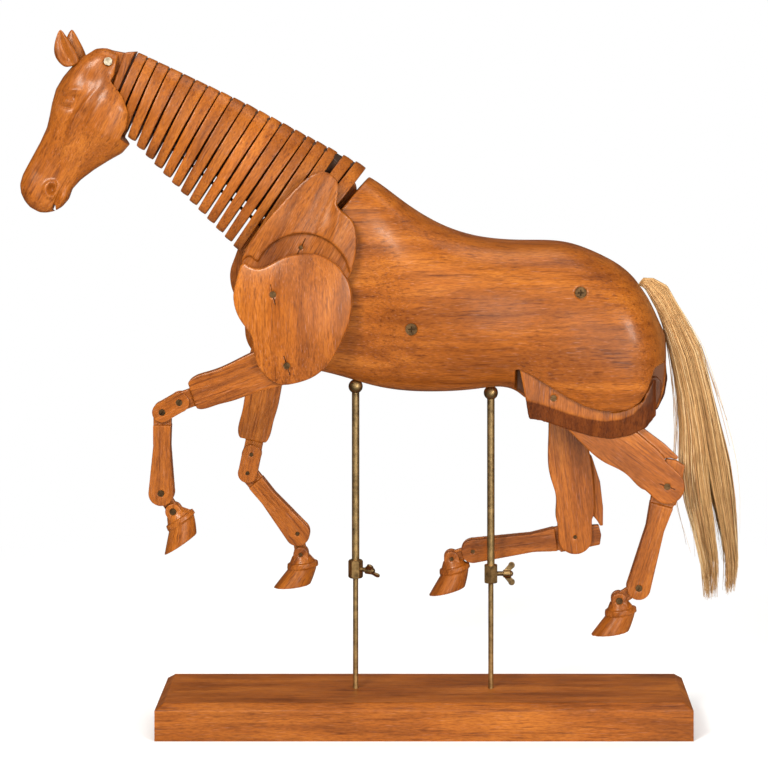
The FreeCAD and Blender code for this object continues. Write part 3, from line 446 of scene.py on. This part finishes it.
def prism_y(points, y0, y1, name="cutter"):
    area = sum(a[0] * b[1] - b[0] * a[1] for a, b in zip(points, list(points[1:]) + [points[0]]))
    if area < 0:
        points = list(reversed(points))
    count = len(points)
    verts = [(x * MM, y * MM, z * MM) for y in (y0, y1) for x, z in points]
    faces = [tuple(range(count)), tuple(range(2 * count - 1, count - 1, -1))]
    faces += [(i, i + count, (i + 1) % count + count, (i + 1) % count) for i in range(count)]
    obj = mesh_object(name, verts, faces)
    change = obj.modifiers.new("tri", "TRIANGULATE")
    baked(obj)
    return obj


def cut_away(obj, cutters):
    for cutter in cutters:
        change = obj.modifiers.new("cut", "BOOLEAN")
        change.operation = "DIFFERENCE"
        change.solver = "EXACT"
        change.object = cutter
    baked(obj)
    for cutter in cutters:
        bpy.data.objects.remove(cutter)


def build_head():
    """Carved head with the throat, the mouth, the poll slot and the screw's holes cut out."""
    head = head_shape()
    remesh(head, 0.75)
    soften(head, 8)
    sculpt_head(head)
    soften(head, 2, 0.4)
    x, z = HEAD_PIVOT
    throat = ((-252, 585), (-259, 545), (-276, 513), (-268, 505), (-252, 490.5), (-238, 476.5), (-200, 475),
              (-200, 585))
    mouth = ((-312.6, 431.0), (-309.6, 440.0), (-309.0, 431.0))
    cut_away(head, [prism_y(throat, -17.0, 17.0), prism_y(mouth, -30, 30),
                    cylinder_y(x, z, 21, -7.1, 7.1),
                    prism_y(((x, z - 26), (x + 40, z - 26), (x + 40, z + 25), (x, z + 25)), -7.1, 7.1),
                    cylinder_y(x, z, 4.2, -30, -14.6), cylinder_y(x, z, 4.2, 14.6, 30)])
    remesh(head, 0.6)
    soften(head, 3, 0.4)
    down = (math.sin(HEAD_LEAN), 0, -math.cos(HEAD_LEAN))
    finish_piece(head, "head", wood("wood_head", down, 3.1, 1.03), "body_wood", "head")


EAR_ROWS = (
    # height, half width, half depth
    (0, 6.2, 4.2), (5, 8.2, 4.8), (11, 9.2, 4.6), (17, 8.4, 4.0), (23, 6.2, 3.2), (28, 3.8, 2.1),
    (32.5, 1.0, 0.7),
)


def build_ears():
    """Two leaf-shaped ears, hollow on their outer sides."""
    ears = []
    for side in (-1, 1):
        verts, ring = [], 20
        root = Vector((-293.5 + (3.5 if side > 0 else 0), side * 10.5, 552.5 + (-1 if side > 0 else 0)))
        lean = math.radians(-20 if side < 0 else -14)
        for height, wide, deep in EAR_ROWS:
            curl = -3.0 * math.sin(math.pi * height / EAR_ROWS[-1][0])
            for step in range(ring):
                turn = 2 * math.pi * step / ring
                px = wide * math.cos(turn) + curl
                py = deep * math.sin(turn)
                hollow = max(0.0, math.sin(turn) * side) * max(0.0, 1 - abs(math.cos(turn)) * 1.3)
                py -= side * hollow * deep * 1.15 * (height > 3)
                x = root.x + px * math.cos(lean) + height * math.sin(lean)
                z = root.z - px * math.sin(lean) + height * math.cos(lean)
                verts.append((x * MM, (root.y + py) * MM, z * MM))
        ears.append(mesh_object("ear", verts, loft_faces(len(EAR_ROWS), ring)))
    pair = joined("ears_carved", ears)
    for ear in ears:
        bpy.data.objects.remove(ear)
    change = pair.modifiers.new("sub", "SUBSURF")
    change.levels = 2
    baked(pair)
    remesh(pair, 0.45)
    soften(pair, 4)
    finish_piece(pair, "head", wood("wood_ears", (-0.3, 0, 0.95), 5.2, 0.95), "body_wood", "ears")


# ---- trunk and limb details ----

def joint_place(name):
    for joint in frame["record"]["behaviour"]["joints"]:
        if joint["name"] == name:
            return [c / MM for c in joint["pos_m"]]


def joint_slot(joint, lean, y0, y1, length=17.0, width=0.8):
    """Cutter for the long narrow slot round a joint's screw."""
    x, y, z = joint_place(joint)
    c, s = math.cos(math.radians(lean)), math.sin(math.radians(lean))
    corners = []
    for along, across in ((-length / 2, -width / 2), (length / 2, -width / 2), (length / 2, width / 2),
                          (-length / 2, width / 2)):
        corners.append((x + along * s + across * c, z + along * c - across * s))
    return prism_y(corners, min(y0, y1), max(y0, y1))


def shape_humerus(side):
    """Slots round the shoulder's and the elbow's screws."""
    def shaping(obj):
        sign = -1 if side == "left_" else 1
        cutters = []
        for joint, lean, depth in (("shoulder", -14, 50.2), ("elbow", -16, 47.8)):
            cutters.append(joint_slot(side + joint, lean, sign * 60, sign * depth))
        cut_away(obj, cutters)
    return shaping


def shape_scapula(side):
    """Raised spine along the rear upper edge with a hollow in front of it, and the pivot's slot."""
    def shaping(obj):
        coords = vertices(obj.data) / MM
        x, y, z = coords.T
        outer = np.clip((np.abs(y) - 36) / 4, 0, 1)
        push = 2.4 * bump_at(x, z, (-69, 441), 24, 4.5, turn=math.radians(80))
        push -= 2.4 * bump_at(x, z, (-82, 436), 24, 7, turn=math.radians(66))
        push += 1.6 * bump_at(x, z, (-112, 418), 20, 14, turn=math.radians(50))
        coords[:, 1] = y + np.sign(y) * push * outer
        set_vertices(obj.data, coords * MM)
        sign = -1 if side == "left_" else 1
        cut_away(obj, [joint_slot(side + "scapula", 27, sign * 60, sign * 39.0)])
    return shaping


def shape_gaskin(side):
    """Slot round the hock's screw."""
    def shaping(obj):
        sign = -1 if side == "left_" else 1
        lean = 110 if sign < 0 else 3
        cut_away(obj, [joint_slot(side + "hock", lean, sign * 45, sign * 31.2, 14.0)])
    return shaping


# lower edge of the pale crescent on the thigh, with the left leg at rest
CRESCENT = ((60, 285), (85.3, 277.2), (97.7, 274.1), (118.3, 266.9), (134.8, 262.4), (149.3, 260.3),
            (161.7, 261.7), (172, 265.7), (179, 272.3), (185.4, 282.4), (188.5, 292.9))
HIP = (146.5, 327.0)
# mm over which the painted shade below the crescent fades in
SHADE_FADE = 1.2


def shape_thigh(rest):
    """Painted shade: darker on the bevel below the pale crescent."""
    def shaping(obj):
        coords = vertices(obj.data) / MM
        turn = math.radians(rest)
        dx, dz = coords[:, 0] - HIP[0], coords[:, 2] - HIP[1]
        x = HIP[0] + dx * math.cos(turn) + dz * math.sin(turn)
        z = HIP[1] - dx * math.sin(turn) + dz * math.cos(turn)
        edge = np.interp(x, [p[0] for p in CRESCENT], [p[1] for p in CRESCENT])
        below = np.clip((edge - z) / SHADE_FADE, 0, 1)
        behind = np.clip((x - CRESCENT[-1][0]) / SHADE_FADE, 0, 1)
        # painted shade below the crescent's edge and behind its rear end
        tarnish_and_shade = np.maximum(below, behind)
        layer = obj.data.attributes.new("tarnish_and_shade", "FLOAT", "POINT")
        layer.data.foreach_set("value", tarnish_and_shade.astype(np.float32))
    return shaping


CREST_TURN = (-149.2, 520.5)          # the crest bends slightly here
SLICE_TOPS = (-240.0, -231.5, -223.0, -213.0, -202.0, -191.5, -181.0, -170.5, -160.2, -149.3,
              -138.6, -128.5, -118.7, -108.2, -98.0, -90.2, -80.6, -71.8)
SLICE_GAP = 1.1                       # between the tops of neighbouring slices
STEP_DOWN = Vector((7.37, -7.6))      # from one slice's low end to the next one's
FOURTH_LOW = Vector((-238.4, 483.2))
LOW_GAP = 3.4
WEB_BITE = 0.4                        # how far a web goes into its slices
LAST_SLICES = (
    # crest from and to, low end front and rear: the two short slices before the withers
    ((-67.9, -59.2), (-137.4, 381.5), (-133.8, 377.8)),
    ((-57.5, -48.9), (-101.6, 416.4), (-92.6, 412.1)),
)


def crest_point(x):
    slope = -0.474 if x < CREST_TURN[0] else -0.531
    return Vector((x, CREST_TURN[1] + slope * (x - CREST_TURN[0])))


def neck_slices():
    """Each slice as crest front, crest rear, low front, low rear and the number of its neck group."""
    run = STEP_DOWN.normalized()
    half = (STEP_DOWN.length - LOW_GAP) / 2
    slices = []
    for index in range(17):
        low = FOURTH_LOW + STEP_DOWN * (index - 3)
        slices.append((crest_point(SLICE_TOPS[index]), crest_point(SLICE_TOPS[index + 1] - SLICE_GAP),
                       low - run * half, low + run * half, min(8, index // 2 + 1)))
    for tops, low_front, low_rear in LAST_SLICES:
        slices.append((crest_point(tops[0]), crest_point(tops[1]), Vector(low_front), Vector(low_rear), 9))
    return slices


def web_between(first, second, half_width, with_cord, name):
    """Near-black sheet as painted shade in the upper part of one gap, and a thin cord lower down."""
    bite = STEP_DOWN.normalized() * WEB_BITE
    spans = [(0.015, 0.68, half_width)]
    if with_cord:
        spans.append((0.74, 0.765, 1.1))
    pieces = []
    for start, end, reach in spans:
        corners = [first[1].lerp(first[3], f) - bite for f in (start, end)]
        corners += [second[0].lerp(second[2], f) + bite for f in (end, start)]
        pieces.append(prism_y([tuple(c) for c in corners], -reach, reach, "web"))
    web = joined(name, pieces)
    for piece in pieces:
        bpy.data.objects.remove(piece)
    return web


def blend_web(web, gap_shade):
    """Finer faces and the material for a web between two neck groups; it is not attached to either group."""
    change = web.modifiers.new("fine", "SUBSURF")
    change.subdivision_type = "SIMPLE"
    change.levels = 2
    baked(web)
    web.data.materials.append(gap_shade)
    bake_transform(web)


def build_neck_webs():
    """Near-black webs as painted shade between the neck slices: one web per gap, or one per neck group
    inside it.
    """
    slices = neck_slices()
    # near-black wood: painted shade in the gaps between the slices
    gap_shade = wood("neck_leather", (0.7, 0, -0.7), 2.2, 0.10, 0.2)
    fixed = {}
    for index, (first, second) in enumerate(zip(slices, slices[1:])):
        name = "neck_web_%d_%d" % (first[4], second[4])
        if first[4] == second[4]:
            name = "web_%d" % (index + 1)
        web = web_between(first, second, 4.5 + 4.0 * index / 17, index < 16, name)
        if first[4] == second[4]:
            fixed.setdefault(first[4], []).append(web)
        else:
            blend_web(web, gap_shade)
    for group, webs in fixed.items():
        whole = joined("neck_web_%d" % group, webs)
        for web in webs:
            bpy.data.objects.remove(web)
        whole.data.materials.append(gap_shade)
        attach(whole, node_body["neck_%d" % group])


# ---- tail ----

TAIL_OUTER = ((184, 374.0), (191.8, 373.7), (203.4, 367), (211.1, 352.6), (218.7, 339.1), (230.3, 316),
              (240, 281.2), (247.7, 250.3), (255.4, 219.5), (260.2, 192.5), (263.1, 163.6), (265, 138.5),
              (262, 112))
TAIL_INNER = ((180, 369), (186, 365.5), (195.6, 348.7), (200, 337), (203.4, 325.5), (209, 303),
              (213.9, 273.5), (215.9, 246.5), (215.5, 215.7), (218.7, 184.8), (224.5, 161.7), (230.3, 132.7),
              (233, 104))


TAIL_STEPS = 30                       # straight pieces in a strand
STRANDS = 2600
LOCKS = 34
SPLIT_START = 0.62                    # share of the length after which the tail splits in two


def tail_outline(t):
    """Outer and inner edge of the tail in side view, at a share t of its length."""
    places = np.linspace(0, 1, len(TAIL_OUTER))
    outer = [np.interp(t, places, [p[k] for p in TAIL_OUTER]) for k in (0, 1)]
    inner = [np.interp(t, places, [p[k] for p in TAIL_INNER]) for k in (0, 1)]
    return outer, inner


def strand_path(edges, length, across, deep, sway, wave, stray):
    """Middle line of one hair."""
    tip_side = -1 if across < 0.05 else 1
    path = []
    for step in range(TAIL_STEPS + 1):
        t = length * step / TAIL_STEPS
        (ox, oz), (ix, iz) = edges(t)
        part = max(0.0, (t - SPLIT_START) / (1 - SPLIT_START))
        lane = across * (1 - 0.25 * part) + 0.28 * tip_side * part * (1 - abs(across))
        lane += 0.11 * math.sin(7 * t + sway) * t + 0.05 * math.sin(17 * t + wave) * t
        if stray:
            lane += 0.75 * math.sin(3 * t + wave) * t
        mix_in = 0.5 + 0.5 * lane
        half_depth = 3.0 + 12.5 * math.sin(min(t * 1.25, 1.0) * math.pi / 2) * (1 - 0.35 * part)
        y = deep * math.sqrt(max(0.05, 1 - 0.8 * lane * lane)) * half_depth
        y += 0.9 * math.sin(9 * t + wave)
        x = ix + (ox - ix) * mix_in + 0.8 * math.sin(13 * t + wave) * (0.3 + t)
        z = iz + (oz - iz) * mix_in
        path.append(Vector((x, y, z)))
    return path


def add_strand(verts, faces, path, thick, wave):
    """Three-sided tube along a path, thinner towards its tip."""
    start = len(verts)
    for step, point in enumerate(path):
        ahead = path[min(step + 1, TAIL_STEPS)] - path[max(step - 1, 0)]
        ahead.normalize()
        sideways = ahead.cross(Vector((0, 1, 0.01))).normalized()
        up = ahead.cross(sideways)
        width = thick * (1 - 0.65 * max(0.0, (step / TAIL_STEPS - 0.7) / 0.3))
        for corner in range(3):
            turn = 2 * math.pi * corner / 3 + wave
            offset = sideways * math.cos(turn) * width + up * math.sin(turn) * width
            verts.append((point + offset) * MM)
    for step in range(TAIL_STEPS):
        for corner in range(3):
            a = start + step * 3 + corner
            b = start + step * 3 + (corner + 1) % 3
            faces.append((a, b, b + 3, a + 3))
    faces.append((start + 2, start + 1, start))
    end = start + TAIL_STEPS * 3
    faces.append((end, end + 1, end + 2))


def build_tail():
    """Fibres in locks, spreading from the root and splitting near the tips."""
    verts, faces, shades, locks = [], [], [], []
    for k in range(LOCKS):
        lane = math.sin((k * 0.618 % 1 - 0.5) * math.pi)
        locks.append((lane, rng.uniform(-1, 1), rng.uniform(0, 6.3), rng.uniform(0.3, 0.9)))
    for index in range(STRANDS):
        lock = locks[index % LOCKS]
        stray = rng.random() < 0.035
        spread = 0.20 if not stray else 0.45
        across = max(-1.0, min(1.0, lock[0] + rng.gauss(0, spread)))
        deep = max(-1.0, min(1.0, lock[1] + rng.gauss(0, spread)))
        length = rng.uniform(0.80, 1.0) if not stray else rng.uniform(0.35, 0.9)
        wave = rng.uniform(0, 6.3)
        thick = rng.uniform(0.2, 0.42)
        shade = min(1.0, max(0.0, lock[3] + rng.gauss(0, 0.16)))
        path = strand_path(tail_outline, length, across, deep, lock[2], wave, stray)
        add_strand(verts, faces, path, thick, wave)
        shades += [shade] * (3 * (TAIL_STEPS + 1))
    tail = mesh_object("tail_hair", verts, faces)
    layer = tail.data.attributes.new("strand", "FLOAT", "POINT")
    layer.data.foreach_set("value", shades)
    for face in tail.data.polygons:
        face.use_smooth = True
    finish_piece(tail, "tail", fibre("straw_fibre"), "tail_fibre", "tail")


# ---- the figure ----

TUBES = ("stand_rods", "front_tube", "rear_tube")
COLLARS = ("front_collar", "rear_collar")
WING_SCREWS = ("front_wing_screw", "rear_wing_screw")
LIMB_PIECES = {
    # voxel size and rounds of smoothing
    "scapula": (0.7, 12), "humerus": (0.7, 14), "forearm": (0.6, 9), "knee_links": (0.4, 3),
    "front_cannon": (0.5, 8), "front_pastern": (0.4, 3), "front_hoof": (0.5, 5), "thigh": (0.9, 5),
    "gaskin": (0.6, 6), "hind_cannon": (0.5, 8), "hind_pastern": (0.4, 3), "hind_hoof": (0.5, 5),
}
LIMB_TONE = {"gaskin": 1.14}


def dress_metal():
    """Materials and broken edges for the brass and the screws; cast wing screws."""
    brass = metal("brass_aged", (0.44, 0.30, 0.135), (0.20, 0.13, 0.06), 0.42, 0)
    fittings = metal("brass_fittings", (0.36, 0.23, 0.10), (0.13, 0.08, 0.038), 0.40, 17)
    screws = metal("screw_bronze", (0.14, 0.083, 0.04), (0.035, 0.02, 0.011), 0.40, 31)
    nickel = metal("screw_nickel", (0.62, 0.56, 0.46), (0.30, 0.25, 0.19), 0.30, 43)
    materials = dict.fromkeys(TUBES, brass) | dict.fromkeys(COLLARS + WING_SCREWS, fittings)
    materials["head_screw"] = nickel
    for name, obj in nodes.items():
        if "screw" not in name and name not in materials:
            continue
        obj.data.materials.clear()
        obj.data.materials.append(materials.get(name, screws))
        if name not in WING_SCREWS:
            edge = obj.modifiers.new("edge", "BEVEL")
            edge.width = 0.0002
            edge.segments = 2
            edge.angle_limit = math.radians(35)
    for name in WING_SCREWS:
        cast = joined(name + "_cast", [nodes[name]])
        remesh(cast, 0.3)
        soften(cast, 5)
        finish_piece(cast, node_body[name], fittings, "aged_brass", name)


def limb_shaping(side, part):
    """The finer carving of a limb piece, if it has any."""
    hip_rest = 0.0 if side == "left_" else 11.0
    shapings = {"scapula": shape_scapula(side), "humerus": shape_humerus(side),
                "gaskin": shape_gaskin(side), "thigh": shape_thigh(hip_rest)}
    return shapings.get(part)


def dress():
    dress_metal()
    carve("trunk_carved", ["trunk_core", "left_flank", "right_flank"], 1.1, 4, (1, 0, 0.02), 1.03,
          seams=(-BOARD_Y, BOARD_Y))
    carve("plinth", ["base_board"], 1.0, 2, (1, 0, 0), 1.10, 0.12, slot_name="base_wood")
    build_head()
    build_ears()
    carve("poll_carved", ["poll_block"], 0.7, 4, slot_name="neck_wood")
    neck_voxel = 0.42
    for group in range(1, 10):
        carve("neck_%d_carved" % group, ["neck_%d" % group], neck_voxel, 5,
              slot_name="neck_wood", shaping=lambda obj: swell(obj, 0.28))
    build_neck_webs()
    for side in ("left_", "right_"):
        for part, (voxel, rounds) in LIMB_PIECES.items():
            carve(side + part + "_carved", [side + part], voxel, rounds, tone=LIMB_TONE.get(part, 1.0),
                  shaping=limb_shaping(side, part))
    build_tail()


# ---- setting ----

FLOOR_FADE = (0.30, 0.85)          # metres from the middle: the floor turns plain white between them
LAMPS = (
    # name, place, size, power, colour
    ("key", (-0.75, -1.5, 1.35), 0.6, 35, (1.0, 0.97, 0.92)),
    ("fill", (1.0, -1.6, 0.8), 0.5, 19, (1.0, 0.98, 0.95)),
    ("low", (0.35, -1.9, 0.30), 0.8, 8, (1.0, 0.98, 0.95)),
    ("top", (0.1, -0.25, 1.7), 0.9, 6, WHITE),
    ("back", (0.2, 1.7, 1.0), 1.0, 22, (1.0, 0.98, 0.95)),
)
LAMP_AIM = Vector((0, 0, 0.32))
CAMERA_HOME = (0.0139, -2.204, 0.600)
CAMERA_SHIFT = {"shift_x": -0.0742, "shift_y": -0.488}


def build_floor():
    """Pale floor that fades to plain white for the camera, so that no horizon shows."""
    bpy.ops.mesh.primitive_plane_add(size=12, location=(0, 0, 0))
    floor = bpy.context.object
    floor.name = "floor"
    mat, tree, bsdf = new_material("pale_floor")
    bsdf.inputs["Base Color"].default_value = (0.93, 0.93, 0.93, 1)
    bsdf.inputs["Roughness"].default_value = 0.9
    glow = add_node(tree, "ShaderNodeEmission")
    fade = add_node(tree, "ShaderNodeMixShader")
    place = add_node(tree, "ShaderNodeTexCoord").outputs["Object"]
    reach = add_node(tree, "ShaderNodeVectorMath", operation="LENGTH")
    tree.links.new(place, reach.inputs[0])
    far = add_node(tree, "ShaderNodeMapRange", interpolation_type="SMOOTHSTEP")
    far.inputs["From Min"].default_value = FLOOR_FADE[0]
    far.inputs["From Max"].default_value = FLOOR_FADE[1]
    tree.links.new(reach.outputs["Value"], far.inputs["Value"])
    direct = add_node(tree, "ShaderNodeLightPath")
    share = add_node(tree, "ShaderNodeMath", operation="MULTIPLY")
    tree.links.new(far.outputs[0], share.inputs[0])
    tree.links.new(direct.outputs["Is Camera Ray"], share.inputs[1])
    tree.links.new(share.outputs[0], fade.inputs[0])
    tree.links.new(bsdf.outputs[0], fade.inputs[1])
    tree.links.new(glow.outputs[0], fade.inputs[2])
    tree.links.new(fade.outputs[0], tree.nodes["Material Output"].inputs[0])
    floor.data.materials.append(mat)
    floor.visible_glossy = False


def build_world():
    """White for the camera, soft for diffuse light and faint in reflections."""
    world = bpy.data.worlds.new("studio")
    world.use_nodes = True
    tree = world.node_tree
    sky = tree.nodes["Background"]
    sky.inputs[0].default_value = (1, 1, 1, 1)
    seen = add_node(tree, "ShaderNodeLightPath")
    soft = add_node(tree, "ShaderNodeMapRange")
    soft.inputs["To Min"].default_value = 0.40
    soft.inputs["To Max"].default_value = 0.07
    tree.links.new(seen.outputs["Is Glossy Ray"], soft.inputs["Value"])
    strength = add_node(tree, "ShaderNodeMapRange")
    strength.inputs["To Max"].default_value = 1.0
    tree.links.new(soft.outputs[0], strength.inputs["To Min"])
    tree.links.new(seen.outputs["Is Camera Ray"], strength.inputs["Value"])
    tree.links.new(strength.outputs[0], sky.inputs[1])
    bpy.context.scene.world = world


def build_lamps():
    """Area lamps; none shows itself, and the back one leaves no glare."""
    for name, place, size, power, colour in LAMPS:
        light = bpy.data.lights.new(name, "AREA")
        light.size = size
        light.energy = power
        light.color = colour
        lamp = bpy.data.objects.new(name, light)
        bpy.context.scene.collection.objects.link(lamp)
        lamp.location = place
        lamp.visible_camera = False
        lamp.visible_glossy = name != "back"
        lamp.rotation_mode = "QUATERNION"
        lamp.rotation_quaternion = (LAMP_AIM - Vector(place)).to_track_quat("-Z", "Y")


def build_camera():
    """Level camera; its shift holds only at its own place, so other views stay centred."""
    cam = bpy.data.cameras.new("camera")
    camera = bpy.data.objects.new("camera", cam)
    bpy.context.scene.collection.objects.link(camera)
    camera.location = CAMERA_HOME
    camera.rotation_euler = (math.pi / 2, 0, 0)
    cam.sensor_width = 36
    cam.lens = 123
    low, high = CAMERA_HOME[1] - 1e-5, CAMERA_HOME[1] + 1e-5
    for setting, value in CAMERA_SHIFT.items():
        driver = cam.driver_add(setting).driver
        driver.type = "SCRIPTED"
        var = driver.variables.new()
        var.name = "away"
        var.type = "TRANSFORMS"
        var.targets[0].id = camera
        var.targets[0].transform_type = "LOC_Y"
        var.targets[0].transform_space = "WORLD_SPACE"
        driver.expression = "%r if away < %r and away > %r else 0.0" % (value, high, low)
    bpy.context.scene.camera = camera


def studio():
    build_floor()
    build_world()
    build_lamps()
    build_camera()
    bpy.context.scene.view_settings.view_transform = "Standard"


dress()
studio()
bpy.context.view_layer.update()
